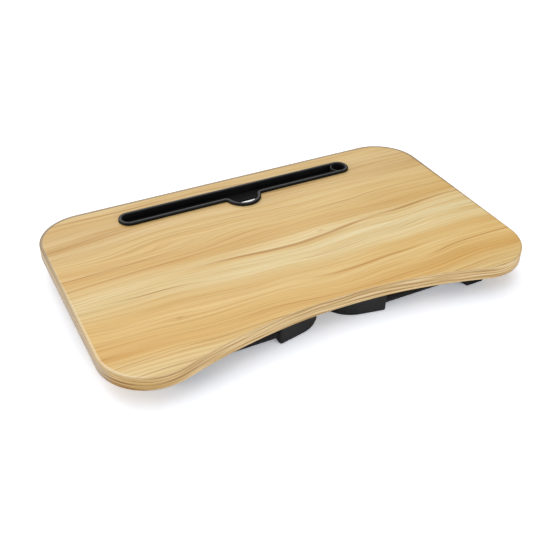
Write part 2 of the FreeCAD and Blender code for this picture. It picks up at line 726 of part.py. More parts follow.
def make_leg_tube(document, label):
    """One leg: a steel tube bent into a U, both of its open ends at the hinges."""
    body = make_body(document, label, z="ShoeBelowAxis")
    bar, bend_x, half, bend_y = leg_numbers()
    start_x = size("PivotFromCentre") - size("KnuckleNeck")
    path = make_sketch(body, "path", "XY_Plane")
    pieces = [
        line(start_x, -half, bend_x, -half),
        arc(bend_x, -bend_y, size("BendRadius"), 180, 270),
        line(bar, -bend_y, bar, bend_y),
        arc(bend_x, bend_y, size("BendRadius"), 90, 180),
        line(bend_x, half, start_x, half),
    ]
    for piece in pieces:
        path.addGeometry(piece)
    front, front_bend, crossbar, back_bend, back = range(5)
    join(path, "Tangent", [
        ((front, 2), (front_bend, 2)),
        ((front_bend, 1), (crossbar, 1)),
        ((crossbar, 2), (back_bend, 2)),
        ((back_bend, 1), (back, 1)),
    ])
    path.addConstraint(Sketcher.Constraint("Horizontal", front))
    path.addConstraint(Sketcher.Constraint("Vertical", crossbar))
    path.addConstraint(Sketcher.Constraint("Horizontal", back))
    for index in (front_bend, back_bend):
        bind(path, "Radius", (index,), size("BendRadius"), "BendRadius")
    bind(path, "DistanceX", (*ORIGIN, crossbar, 1), bar, CROSSBAR_X)
    bind(path, "DistanceY", (*ORIGIN, front, 1), -half, f"0 - {LEG_LINE}")
    bind(path, "DistanceY", (*ORIGIN, back, 1), half, LEG_LINE)
    for place in ((front, 1), (back, 2)):
        bind(path, "DistanceX", (*ORIGIN, *place), start_x, "PivotFromCentre - KnuckleNeck")
    ring = make_sketch(body, "ring", "YZ_Plane", "PivotFromCentre - KnuckleNeck")
    draw_circle(ring, f"0 - {LEG_LINE}", "0", "TubeDiameter")
    draw_circle(ring, f"0 - {LEG_LINE}", "0", "TubeDiameter - 2 * TubeWall")
    document.recompute()
    tube = body.newObject("PartDesign::AdditivePipe", f"{label}_pipe")
    tube.Profile = ring
    tube.Spine = path
    document.recompute()
    return body


def make_knuckle(document, label):
    """The moulded end of the leg: a round eye on the pin and a spigot in the tube."""
    body = make_body(
        document, label, x="PivotFromCentre", y=f"0 - {LEG_LINE}", z="ShoeBelowAxis")
    radius = size("TubeDiameter") / 2
    neck = size("KnuckleNeck")
    eye = make_sketch(body, "eye", "XZ_Plane")
    eye.addGeometry(arc(0, 0, radius, 270, 450))
    eye.addGeometry(line(0, radius, -neck, radius))
    eye.addGeometry(line(-neck, radius, -neck, -radius))
    eye.addGeometry(line(-neck, -radius, 0, -radius))
    join(eye, "Tangent", [((0, 2), (1, 1)), ((3, 2), (0, 1))])
    join(eye, "Coincident", [((1, 2), (2, 1)), ((2, 2), (3, 1)), ((0, 3), ORIGIN)])
    eye.addConstraint(Sketcher.Constraint("Horizontal", 1))
    eye.addConstraint(Sketcher.Constraint("Horizontal", 3))
    eye.addConstraint(Sketcher.Constraint("Vertical", 2))
    bind(eye, "Radius", (0,), radius, "TubeDiameter / 2")
    bind(eye, "DistanceX", (*ORIGIN, 2, 1), -neck, "0 - KnuckleNeck")
    pad(body, eye, "KnuckleWidth", midplane=True)
    round_edges(body, "KnuckleEasing", lambda edge: edge.BoundBox.YLength < 1e-4)
    spigot = make_sketch(body, "spigot", "YZ_Plane", "0 - KnuckleNeck")
    draw_circle(spigot, "0", "0", "TubeDiameter - 2 * TubeWall - 2 * SpigotClearance")
    pad(body, spigot, "SpigotLength", reverse=True)
    bore = make_sketch(body, "bore", "XZ_Plane")
    draw_circle(bore, "0", "0", "PinDiameter + 2 * PinRunningClearance")
    pocket(body, bore, "2 * KnuckleWidth", midplane=True)
    return body


SHOE_HEIGHT = f"( {UNDERSIDE} - FoldStopGap )"


def draw_shoe_outline(sketch):
    """The corner shoe from above: a slim flank, a full round nose and a flat sole.

    Its inner side follows the tube's bend.
    """
    bar, bend_x, half, bend_y = leg_numbers()
    grip = size("ShoeWidth") / 2
    flank = size("ShoeFlankAngle")
    nose = size("ShoeNoseRadius")
    sole_x = size("SoleFromCentre") - size("SoleTrim")
    end_x = bend_x + size("ShoeCollar")
    end_y = size("ShoeCollar") - bend_y
    nose_x = sole_x + nose
    rise = (end_x - nose_x) * math.tan(math.radians(flank))
    nose_y = rise - half - grip + nose / math.cos(math.radians(flank))
    flank_x = nose_x - nose * math.sin(math.radians(flank))
    flank_y = nose_y - nose * math.cos(math.radians(flank))
    inner = size("BendRadius") - grip
    pieces = [
        line(end_x, -half - grip, flank_x, flank_y),
        arc(nose_x, nose_y, nose, 180, 270 - flank),
        line(sole_x, nose_y, sole_x, end_y),
        line(sole_x, end_y, bar + grip, end_y),
        line(bar + grip, end_y, bar + grip, -bend_y),
        arc(bend_x, -bend_y, inner, 180, 270),
        line(bend_x, grip - half, end_x, grip - half),
        line(end_x, grip - half, end_x, -half - grip),
    ]
    for piece in pieces:
        sketch.addGeometry(piece)
    side, toe, sole, bar_end, bar_inside, crook, leg_inside, leg_end = range(8)
    join(sketch, "Tangent", [
        ((side, 2), (toe, 2)),
        ((toe, 1), (sole, 1)),
        ((bar_inside, 2), (crook, 1)),
        ((crook, 2), (leg_inside, 1)),
    ])
    join(sketch, "Coincident", [
        ((sole, 2), (bar_end, 1)),
        ((bar_end, 2), (bar_inside, 1)),
        ((leg_inside, 2), (leg_end, 1)),
        ((leg_end, 2), (side, 1)),
    ])
    for index in (sole, bar_inside, leg_end):
        sketch.addConstraint(Sketcher.Constraint("Vertical", index))
    for index in (bar_end, leg_inside):
        sketch.addConstraint(Sketcher.Constraint("Horizontal", index))
    bend_formula = f"{CROSSBAR_X} + BendRadius"
    bind(sketch, "Radius", (toe,), nose, "ShoeNoseRadius")
    bind(sketch, "DistanceX", (*ORIGIN, sole, 1), sole_x, "SoleFromCentre - SoleTrim")
    bind(sketch, "DistanceX", (*ORIGIN, crook, 3), bend_x, bend_formula)
    bind(sketch, "DistanceY", (*ORIGIN, crook, 3), -bend_y, f"BendRadius - {LEG_LINE}")
    bind(sketch, "Radius", (crook,), inner, "BendRadius - ShoeWidth / 2")
    bind(sketch, "DistanceX", (*ORIGIN, leg_end, 1), end_x, f"{bend_formula} + ShoeCollar")
    place = (*ORIGIN, leg_end, 2)
    bind(sketch, "DistanceY", place, -half - grip, f"0 - {LEG_LINE} - ShoeWidth / 2")
    place = (*ORIGIN, bar_end, 1)
    bind(sketch, "DistanceY", place, end_y, f"BendRadius + ShoeCollar - {LEG_LINE}")
    run = "( ShoeWidth / 2 + SoleTrim + BendRadius + ShoeCollar - ShoeNoseRadius )"
    slope = f"{run} * tan( ShoeFlankAngle ) + ShoeNoseRadius / cos( ShoeFlankAngle )"
    place = (*ORIGIN, toe, 3)
    bind(sketch, "DistanceY", place, nose_y, f"{slope} - {LEG_LINE} - ShoeWidth / 2")


def make_shoe(document, label):
    """The rubber corner shoe on a leg's bend, folded side down.

    The open leg leans outwards, so the sole is cut at the same lean and stands flat.
    """
    body = make_body(document, label)
    outline = make_sketch(body, "outline", "XY_Plane")
    draw_shoe_outline(outline)
    pad(body, outline, SHOE_HEIGHT)
    wedge = make_sketch(body, "sole_cut", "XZ_Plane")
    lean = f"{SHOE_HEIGHT} * tan( OpenAngle - 90 )"
    draw_polygon(wedge, [
        ("SoleFromCentre", "0"),
        (f"SoleFromCentre + {lean}", SHOE_HEIGHT),
        (f"SoleFromCentre - {CUT_MARGIN}", SHOE_HEIGHT),
        (f"SoleFromCentre - {CUT_MARGIN}", "0"),
    ])
    pocket(body, wedge, "BoardDepth", midplane=True)
    round_edges(body, "ShoeCornerRadius", is_shoe_end_corner)
    bore_shoe(body)
    height = size("ShoeBelowAxis") + size("AxisDrop") - size("FoldStopGap")
    round_edges(body, "ShoeRounding", lambda edge: (
        lies_at_height(edge, 0) or lies_at_height(edge, height)
    ))
    return body


def is_shoe_end_corner(edge):
    """The two upright edges of the face that the leg's side comes out of."""
    box = edge.BoundBox
    end_x = leg_numbers()[1] + size("ShoeCollar")
    return abs(box.XMin - end_x) < 1e-4 and box.XLength < 1e-4 and box.YLength < 1e-4


def bore_shoe(body):
    """Bore the shoe for the tube: a quarter turn round the bend and a straight at each end."""
    bend_formula = f"{CROSSBAR_X} + BendRadius"
    bore_diameter = "TubeDiameter + 2 * ShoeBoreClearance"
    bend = make_sketch(body, "bend_bore", "YZ_Plane", bend_formula)
    draw_circle(bend, f"0 - {LEG_LINE}", "ShoeBelowAxis", bore_diameter)
    bend_y = -leg_numbers()[3]
    hub = bend.addGeometry(line(bend_y, 0, bend_y, 10), True)
    bend.addConstraint(Sketcher.Constraint("Vertical", hub))
    bind(bend, "DistanceX", (*ORIGIN, hub, 1), bend_y, f"BendRadius - {LEG_LINE}")
    bend.addConstraint(Sketcher.Constraint("PointOnObject", hub, 1, -1))
    bind(bend, "DistanceY", (*ORIGIN, hub, 2), 10, "ShoeBelowAxis")
    body.Document.recompute()
    before = body.Shape.Volume
    groove = body.newObject("PartDesign::Groove", f"{bend.Name}_groove")
    groove.Profile = bend
    groove.ReferenceAxis = (bend, ["Axis0"])
    groove.Angle = 90
    groove.Reversed = True
    body.Document.recompute()
    if body.Shape.Volume >= before:
        raise ValueError(f"{groove.Name} cuts nothing")
    leg_bore = make_sketch(body, "leg_bore", "YZ_Plane", bend_formula)
    draw_circle(leg_bore, f"0 - {LEG_LINE}", "ShoeBelowAxis", bore_diameter)
    pocket(body, leg_bore, "2 * ShoeCollar", reverse=True)
    bar_bore = make_sketch(body, "bar_bore", "XZ_Plane", f"{LEG_LINE} - BendRadius")
    draw_circle(bar_bore, CROSSBAR_X, "ShoeBelowAxis", bore_diameter)
    pocket(body, bar_bore, "2 * ShoeCollar")


# --- The whole table ---------------------------------------------------------------------

FRONT_TO_BACK = (0, 1, 0)
RIGHT_TO_LEFT = (1, 0, 0)


def make_table(document):
    """Every piece of the table, in the order that it is put together."""
    pieces = make_board(document)
    pieces.append(make_edge_band(document))
    pieces.append(make_slot_insert(document))
    hinge_pieces = {
        "hinge_bracket": make_bracket,
        "bracket_screws": make_screws,
        "hinge_pin": make_pin,
        "pin_retainer": make_retainer,
        "leg_knuckle": make_knuckle,
        "corner_shoe": make_shoe,
    }
    for name, make_piece in hinge_pieces.items():
        front_right = make_piece(document, f"{name}_front_right")
        back_right = mirror(document, front_right, f"{name}_back_right", FRONT_TO_BACK)
        front_left = mirror(document, front_right, f"{name}_front_left", RIGHT_TO_LEFT)
        back_left = mirror(document, back_right, f"{name}_back_left", RIGHT_TO_LEFT)
        pieces.extend([front_right, back_right, front_left, back_left])
    right_tube = make_leg_tube(document, "leg_tube_right")
    left_tube = mirror(document, right_tube, "leg_tube_left", RIGHT_TO_LEFT)
    pieces.extend([right_tube, left_tube])
    return pieces


def check(document, pieces):
    """Stop if any feature failed or any piece is not a valid solid."""
    for item in document.Objects:
        if "Invalid" in item.State or "Error" in item.State:
            raise ValueError(f"{item.Name} failed: {item.State}")
    for piece in pieces:
        if piece.Shape.isNull() or not piece.Shape.isValid() or not piece.Shape.Solids:
            raise ValueError(f"{piece.Label} is not a valid solid")


def main():
    """Build the table and write one STEP file for each piece."""
    document = FreeCAD.newDocument("BedTrayTable")
    make_sheet(document)
    pieces = make_table(document)
    document.recompute()
    check(document, pieces)
    os.makedirs("parts", exist_ok=True)
    for piece in pieces:
        piece.Shape.exportStep(f"parts/{piece.Label}.step")
        print(piece.Label, len(piece.Shape.Solids), round(piece.Shape.Volume / 1000, 2), "cm3")


main()
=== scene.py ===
import math

import bpy
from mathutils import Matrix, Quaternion, Vector


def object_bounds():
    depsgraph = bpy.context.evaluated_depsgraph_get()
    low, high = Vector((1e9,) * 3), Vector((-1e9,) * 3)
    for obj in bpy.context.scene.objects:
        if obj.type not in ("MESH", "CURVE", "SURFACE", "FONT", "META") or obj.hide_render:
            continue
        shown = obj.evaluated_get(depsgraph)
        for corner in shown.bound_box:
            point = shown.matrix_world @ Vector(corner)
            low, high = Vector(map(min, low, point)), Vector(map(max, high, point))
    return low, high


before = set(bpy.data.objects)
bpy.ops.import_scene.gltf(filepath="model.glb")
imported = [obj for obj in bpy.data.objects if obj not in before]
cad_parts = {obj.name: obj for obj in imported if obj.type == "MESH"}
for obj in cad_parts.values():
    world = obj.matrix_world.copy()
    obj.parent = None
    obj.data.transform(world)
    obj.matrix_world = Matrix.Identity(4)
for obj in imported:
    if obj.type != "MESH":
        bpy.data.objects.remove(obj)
cad_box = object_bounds()

# --- Wood laminate -----------------------------------------------------------------------
# The board's two faces are thin decorative laminate, pressed on to the fibreboard core. Its
# printed pale wood grain runs the length of the board in long, gently wavy streaks, and its
# trimmed rim shows as a thin brown line, with a painted highlight as a cream line inside it
# at the left. Sizes are in metres and tones are linear.

BOARD_HALF_LENGTH = 0.3
BOARD_HALF_DEPTH = 0.1825
BOARD_CORNER = 0.065

CREAMY_WOOD = (0.722, 0.540, 0.250)
ORANGE_WOOD = (0.712, 0.462, 0.160)
GOLDEN_WOOD = (0.745, 0.520, 0.208)
PALE_WOOD = (0.738, 0.585, 0.297)
HONEY_WOOD = (0.690, 0.466, 0.176)
AMBER_WOOD = (0.700, 0.489, 0.197)
TAN_WOOD = (0.630, 0.432, 0.178)
SANDY_WOOD = (0.672, 0.474, 0.200)
WOOD_ZONES = [
    # share of the depth, counted from the bay's side, and the tone there
    (0.03, CREAMY_WOOD), (0.14, ORANGE_WOOD), (0.28, GOLDEN_WOOD), (0.40, PALE_WOOD),
    (0.53, HONEY_WOOD), (0.68, AMBER_WOOD), (0.80, TAN_WOOD), (0.94, SANDY_WOOD),
]
PLAIN = (1.0, 1.0, 1.0)
GRAIN_WAVES = [
    # scale, detail, how far the lines are led across the board
    ((1.8, 3.2, 1.0), 1.0, 0.068),
    ((8.0, 16.0, 1.0), 0.5, 0.017),
]
# each layer of grain: its noise, and the stops for its dark lines and its light ones
GRAIN_BANDS = {
    "scale": (1.1, 20.0, 0.0), "detail": 1.5, "roughness": 0.5,
    "dark": (0.32, (0.940, 0.850, 0.690)), "light": (0.68, (1.050, 1.090, 1.190))}
GRAIN_STREAKS = {
    "scale": (2.2, 70.0, 0.0), "detail": 2.5, "roughness": 0.72,
    "dark": (0.34, (0.925, 0.830, 0.665)), "light": (0.66, (1.055, 1.090, 1.180))}
GRAIN_FIBRES = {
    "scale": (4.0, 290.0, 0.0), "detail": 1.5, "roughness": 0.8,
    "dark": (0.34, (0.880, 0.800, 0.670)), "light": (0.66, (1.070, 1.095, 1.140))}
CALM_SCALE = (2.0, 11.0, 2.0)
# a range is given as its low and high end, and then what those two ends become
STREAKS_BY_CALM = (0.38, 0.60, 0.40, 1.0)
FIBRES_BY_CALM = (0.40, 0.62, 1.0, 0.55)

RINGS = [
    # rings in a metre, how far they wander, tone of the dark line
    (41.0, 2.6, (0.620, 0.430, 0.250)),
    (86.0, 5.5, (0.860, 0.740, 0.590)),
]
RING_WANDER = (1.6, 9.0)
RING_PATCHES = (3.5, 24.0)
RING_SHOWS = (0.46, 0.59, 0.02, 0.95)
RING_RISE = [(0.00, (1.020, 1.030, 1.045)), (0.55, PLAIN), (0.90, (0.980, 0.950, 0.890))]
RING_LINE = (0.95, 0.975)
RING_END = (1.00, (0.980, 0.960, 0.920))

KNOTS = [
    # middle, reach along and across the grain, pull on the grain, whether it has a dark heart
    ((0.058, -0.004), (0.022, 0.007), 0.45, True),
    ((-0.150, 0.055), (0.075, 0.024), 0.70, False),
    ((-0.188, -0.096), (0.016, 0.006), 0.60, True),
]
KNOT_BROWN = (0.420, 0.215, 0.075)
HEART_SHARES = (3.2, 3.6)
HEART_FADE = (0.3, 1.3, 0.45, 0.0)

PORE_BROWN = (0.460, 0.270, 0.105)
PORE_SCALE = (60.0, 1500.0, 0.0)
PORE_DEPTH = (0.62, 0.78, 0.0, 0.30)

# the cream line inside the rim at the left is a painted highlight, not print
RIM_HIGHLIGHT_CREAM = (0.900, 0.760, 0.520)
RIM_HIGHLIGHT_LINE = (0.0042, 0.0052, 1.0, 0.0)
RIM_HIGHLIGHT_SIDE = (-0.290, -0.250, 0.55, 0.0)
RIM_BROWN = (0.260, 0.180, 0.105)
RIM_BROWN_LINE = (0.0022, 0.0032, 1.0, 0.0)
RIM_BROWN_STRENGTH = (0.15, 0.80)
RIM_WIDER_AT_REAR = 0.0018
FRONT_TO_REAR = (-0.14, 0.12)

LAMINATE_ROUGHNESS = (0.3, 0.7, 0.52, 0.44)
LAMINATE_GLOSS = 0.35
FINE_RELIEF = 0.25
RELIEF_HEIGHT = 0.0001

# where the colour sockets sit on a mix node
MIX_FACTOR = 0
MIX_UNDER = 6
MIX_OVER = 7
MIX_RESULT = 2


def start_finish(name):
    """A new material and its surface shader."""
    finish = bpy.data.materials.new(name)
    finish.use_nodes = True
    return finish, finish.node_tree.nodes["Principled BSDF"]


def add_node(finish, kind, inputs, **settings):
    """A node, its settings and its inputs: numbers, colours or outputs of other nodes."""
    node = finish.node_tree.nodes.new(kind)
    for name, setting in settings.items():
        setattr(node, name, setting)
    for place, given in inputs.items():
        if isinstance(given, bpy.types.NodeSocket):
            finish.node_tree.links.new(given, node.inputs[place])
        elif isinstance(given, tuple) and node.inputs[place].type == "RGBA":
            node.inputs[place].default_value = (*given, 1.0)
        else:
            node.inputs[place].default_value = given
    return node


def place_on_table(finish):
    """The point on the table, in metres, in the table's own frame."""
    return add_node(finish, "ShaderNodeTexCoord", {}).outputs["Object"]


def split(finish, vector):
    """The three parts of a point or a direction."""
    return add_node(finish, "ShaderNodeSeparateXYZ", {0: vector}).outputs


def stretch(finish, place, scale):
    """The same point with each axis scaled."""
    node = add_node(finish, "ShaderNodeVectorMath", {0: place, 1: scale}, operation="MULTIPLY")
    return node.outputs["Vector"]


def cloud(finish, place, detail=2.0, roughness=0.5):
    """Smooth noise from 0 to 1 over a stretched point."""
    inputs = {"Vector": place, "Scale": 1.0, "Detail": detail, "Roughness": roughness}
    return add_node(finish, "ShaderNodeTexNoise", inputs).outputs["Fac"]


def reckon(finish, first, second, operation="ADD"):
    """Arithmetic on two numbers."""
    inputs = {0: first, 1: second}
    return add_node(finish, "ShaderNodeMath", inputs, operation=operation).outputs[0]


def spread(finish, factor, low, high, to_low=0.0, to_high=1.0):
    """Map a range of numbers to another range, and stop at its ends."""
    inputs = {
        "Value": factor, "From Min": low, "From Max": high,
        "To Min": to_low, "To Max": to_high}
    return add_node(finish, "ShaderNodeMapRange", inputs, clamp=True).outputs["Result"]


def shade(finish, factor, stops):
    """A colour picked along a run of colour stops."""
    node = add_node(finish, "ShaderNodeValToRGB", {"Fac": factor})
    ramp = node.color_ramp
    while len(ramp.elements) < len(stops):
        ramp.elements.new(0.5)
    for element, (position, colour) in zip(ramp.elements, stops):
        element.position = position
        element.color = (*colour, 1.0)
    return node.outputs["Color"]


def lay_over(finish, factor, under, over, blend_type="MIX"):
    """One colour laid over another."""
    inputs = {MIX_FACTOR: factor, MIX_UNDER: under, MIX_OVER: over}
    node = add_node(finish, "ShaderNodeMix", inputs, data_type="RGBA", blend_type=blend_type)
    return node.outputs[MIX_RESULT]


def feed(finish, shader, colour=None, rough=None):
    """Lead a colour or a roughness into the surface shader."""
    if colour is not None:
        finish.node_tree.links.new(colour, shader.inputs["Base Color"])
    if rough is not None:
        finish.node_tree.links.new(rough, shader.inputs["Roughness"])


def emboss(finish, shader, height, strength, distance):
    """Fine relief on the surface."""
    inputs = {"Height": height, "Strength": strength, "Distance": distance}
    bump = add_node(finish, "ShaderNodeBump", inputs)
    finish.node_tree.links.new(bump.outputs["Normal"], shader.inputs["Normal"])


def lead_round(finish, axes, across, middle, reach, pull):
    """Lead the grain round a knot, so that its lines part in front of it and close behind."""
    x = reckon(finish, axes["X"], middle[0], "SUBTRACT")
    y = reckon(finish, axes["Y"], middle[1], "SUBTRACT")
    x_share = reckon(finish, reckon(finish, x, reach[0], "DIVIDE"), 2.0, "POWER")
    y_share = reckon(finish, reckon(finish, y, reach[1], "DIVIDE"), 2.0, "POWER")
    fade = reckon(finish, reckon(finish, x_share, y_share), -1.0, "MULTIPLY")
    weight = reckon(finish, reckon(finish, fade, 0.0, "EXPONENT"), pull, "MULTIPLY")
    return reckon(finish, across, reckon(finish, y, weight, "MULTIPLY"), "SUBTRACT")


def lead_grain(finish, place, axes):
    """Where a point lies across the grain, once the grain's waves and knots have led it."""
    across = axes["Y"]
    for scale, detail, led in GRAIN_WAVES:
        wave = cloud(finish, stretch(finish, place, scale), detail)
        wave = reckon(finish, reckon(finish, wave, 0.5, "SUBTRACT"), led, "MULTIPLY")
        across = reckon(finish, across, wave)
    for middle, reach, pull, _ in KNOTS:
        across = lead_round(finish, axes, across, middle, reach, pull)
    return across


def lay_grain(finish, colour, grain, layer, strength=1.0):
    """One layer of grain laid over the colour, and its noise."""
    noise = cloud(
        finish, stretch(finish, grain, layer["scale"]), layer["detail"], layer["roughness"])
    tone = shade(finish, noise, [layer["dark"], (0.50, PLAIN), layer["light"]])
    return lay_over(finish, strength, colour, tone, "MULTIPLY"), noise


def draw_rings(finish, colour, grain, across, per_metre, sway, dark):
    """Thin growth lines that wander, show in patches and have one soft side."""
    wander = cloud(finish, stretch(finish, grain, (*RING_WANDER, per_metre)), detail=1.0)
    rings = reckon(finish, across, per_metre, "MULTIPLY")
    rings = reckon(finish, rings, reckon(finish, wander, sway, "MULTIPLY"))
    ring = reckon(finish, rings, 0.0, "FRACT")
    line = [(position, dark) for position in RING_LINE]
    tone = shade(finish, ring, [*RING_RISE, *line, RING_END])
    where = cloud(finish, stretch(finish, grain, (*RING_PATCHES, per_metre)))
    return lay_over(finish, spread(finish, where, *RING_SHOWS), colour, tone, "MULTIPLY")


def draw_heart(finish, colour, place, middle, reach):
    """The dark heart of a knot."""
    away = add_node(finish, "ShaderNodeVectorMath", {
        0: place, 1: (*middle, 0.0)}, operation="SUBTRACT").outputs["Vector"]
    shares = (HEART_SHARES[0] / reach[0], HEART_SHARES[1] / reach[1], 0.0)
    away = add_node(finish, "ShaderNodeVectorMath", {
        0: stretch(finish, away, shares)}, operation="LENGTH").outputs["Value"]
    return lay_over(finish, spread(finish, away, *HEART_FADE), colour, KNOT_BROWN)


def reach_in(finish, axes):
    """How far a point lies inside the board's outline, up to the corner's radius."""
    steps = []
    for axis, half in (("X", BOARD_HALF_LENGTH), ("Y", BOARD_HALF_DEPTH)):
        beyond = reckon(finish, axes[axis], 0.0, "ABSOLUTE")
        beyond = reckon(finish, beyond, half - BOARD_CORNER, "SUBTRACT")
        beyond = reckon(finish, beyond, 0.0, "MAXIMUM")
        steps.append(reckon(finish, beyond, 2.0, "POWER"))
    away = reckon(finish, reckon(finish, *steps), 0.5, "POWER")
    return reckon(finish, BOARD_CORNER, away, "SUBTRACT")


def draw_rim(finish, colour, axes):
    """A brown line along the rim, fainter in front, and inside it at the left a painted cream
    highlight.
    """
    reach = reach_in(finish, axes)
    # painted highlight: a cream line just inside the rim, at the left only
    left = spread(finish, axes["X"], *RIM_HIGHLIGHT_SIDE)
    painted_highlight = reckon(finish, spread(finish, reach, *RIM_HIGHLIGHT_LINE), left, "MULTIPLY")
    colour = lay_over(finish, painted_highlight, colour, RIM_HIGHLIGHT_CREAM)
    rear = spread(finish, axes["Y"], *FRONT_TO_REAR)
    wider = reckon(finish, rear, RIM_WIDER_AT_REAR, "MULTIPLY")
    brown = spread(finish, reckon(finish, reach, wider, "SUBTRACT"), *RIM_BROWN_LINE)
    strength = spread(finish, rear, 0.0, 1.0, *RIM_BROWN_STRENGTH)
    return lay_over(finish, reckon(finish, brown, strength, "MULTIPLY"), colour, RIM_BROWN)


def make_laminate():
    """Pale wood laminate: zones, streaks, growth lines, knots, pores, a rim line, a painted
    highlight.
    """
    finish, shader = start_finish("pale_wood_laminate")
    place = place_on_table(finish)
    axes = split(finish, place)
    across = lead_grain(finish, place, axes)
    grain = add_node(finish, "ShaderNodeCombineXYZ", {0: axes["X"], 1: across}).outputs[0]

    zone = spread(finish, across, -BOARD_HALF_DEPTH, BOARD_HALF_DEPTH)
    colour = shade(finish, zone, WOOD_ZONES)
    calm = cloud(finish, stretch(finish, grain, CALM_SCALE), detail=1.0)
    colour, _ = lay_grain(finish, colour, grain, GRAIN_BANDS)
    strength = spread(finish, calm, *STREAKS_BY_CALM)
    colour, streaks = lay_grain(finish, colour, grain, GRAIN_STREAKS, strength)
    strength = spread(finish, calm, *FIBRES_BY_CALM)
    colour, _ = lay_grain(finish, colour, grain, GRAIN_FIBRES, strength)
    for per_metre, sway, dark in RINGS:
        colour = draw_rings(finish, colour, grain, across, per_metre, sway, dark)
    for middle, reach, _, has_heart in KNOTS:
        if has_heart:
            colour = draw_heart(finish, colour, place, middle, reach)
    pores = cloud(finish, stretch(finish, grain, PORE_SCALE), detail=1.0)
    pores = spread(finish, pores, *PORE_DEPTH)
    colour = lay_over(finish, pores, colour, PORE_BROWN)
    colour = draw_rim(finish, colour, axes)

    feed(finish, shader, colour, spread(finish, streaks, *LAMINATE_ROUGHNESS))
    shader.inputs["Specular IOR Level"].default_value = LAMINATE_GLOSS
    relief = reckon(finish, streaks, pores, "SUBTRACT")
    emboss(finish, shader, relief, FINE_RELIEF, RELIEF_HEIGHT)
    return finish


def dress(finish, *names):
    """Give CAD nodes their finish."""
    for name in names:
        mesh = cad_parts[name].data
        mesh.materials.clear()
        mesh.materials.append(finish)


dress(make_laminate(), "top_laminate", "underside_laminate")

# --- Fibreboard core ---------------------------------------------------------------------
# The board's body is medium density fibreboard, pressed from fine brown fibres and sawn to
# the outline. It only shows at the routed slot and the screw holes.

FIBRE_LIGHT = (0.42, 0.27, 0.14)
FIBRE_DARK = (0.24, 0.14, 0.065)
FIBRE_SCALE = (900.0, 900.0, 1600.0)
FIBRE_ROUGHNESS = 0.9
FIBRE_RELIEF = 0.5
FIBRE_HEIGHT = 0.0002
DARK_UP_TO = 0.35
LIGHT_FROM = 0.65


def mottle(finish, noise, dark, light):
    """A dark tone and a light one that run into each other over smooth noise."""
    return shade(finish, noise, [(DARK_UP_TO, dark), (LIGHT_FROM, light)])


def make_fibreboard():
    """Raw fibreboard: matted fibres with darker flecks."""
    finish, shader = start_finish("raw_fibreboard")
    place = place_on_table(finish)
    matted = cloud(finish, stretch(finish, place, FIBRE_SCALE), detail=5.0, roughness=0.7)
    feed(finish, shader, mottle(finish, matted, FIBRE_DARK, FIBRE_LIGHT))
    shader.inputs["Roughness"].default_value = FIBRE_ROUGHNESS
    emboss(finish, shader, matted, FIBRE_RELIEF, FIBRE_HEIGHT)
    return finish


dress(make_fibreboard(), "board_core")

# --- Edge band ---------------------------------------------------------------------------
# A printed strip, glued round the sawn edge and eased at both arrises with a scraper. Its
# fine grain runs along the edge in close, slightly wavy lines. Its left end is greyed by a
# painted sheen and its front left corner darkened by painted shade, and the rim's brown line
# runs on to its upper edge.

BAND_DARK = (0.400, 0.235, 0.100)
BAND_LIGHT = (0.675, 0.470, 0.220)
BAND_PALE = (0.830, 0.640, 0.370)
BAND_TONES = [(0.36, BAND_DARK), (0.50, BAND_LIGHT), (0.64, BAND_PALE)]
BAND_WAVE = (11.0, 11.0, 0.0)
BAND_WAVE_HEIGHT = 0.008
BAND_LINES = (12.0, 12.0, 600.0)
# the left end's grey is a painted sheen
LEFT_END_SHEEN_GREY = (0.500, 0.430, 0.370)
LEFT_END_SHEEN = (-0.299, -0.290, 0.60, 0.0)
# the front left corner's darker tone is painted shade
CORNER_SHADE_TONE = (0.860, 0.790, 0.640)
CORNER_SHADE_FROM_LEFT = (-0.255, -0.205, 1.0, 0.0)
CORNER_SHADE_FROM_FRONT = (-0.165, -0.125, 1.0, 0.0)
ARRIS_WOOD = (0.640, 0.455, 0.230)
ARRIS_FACES_UP = (0.30, 0.60)
RIM_FACES_UP = (0.80, 0.97)
RIM_NEAR_OUTLINE = (0.0, 0.010, 1.0, 0.0)
BAND_RIM_STRENGTH = (0.15, 1.0)
BAND_ROUGHNESS = 0.50
BAND_GLOSS = 0.20


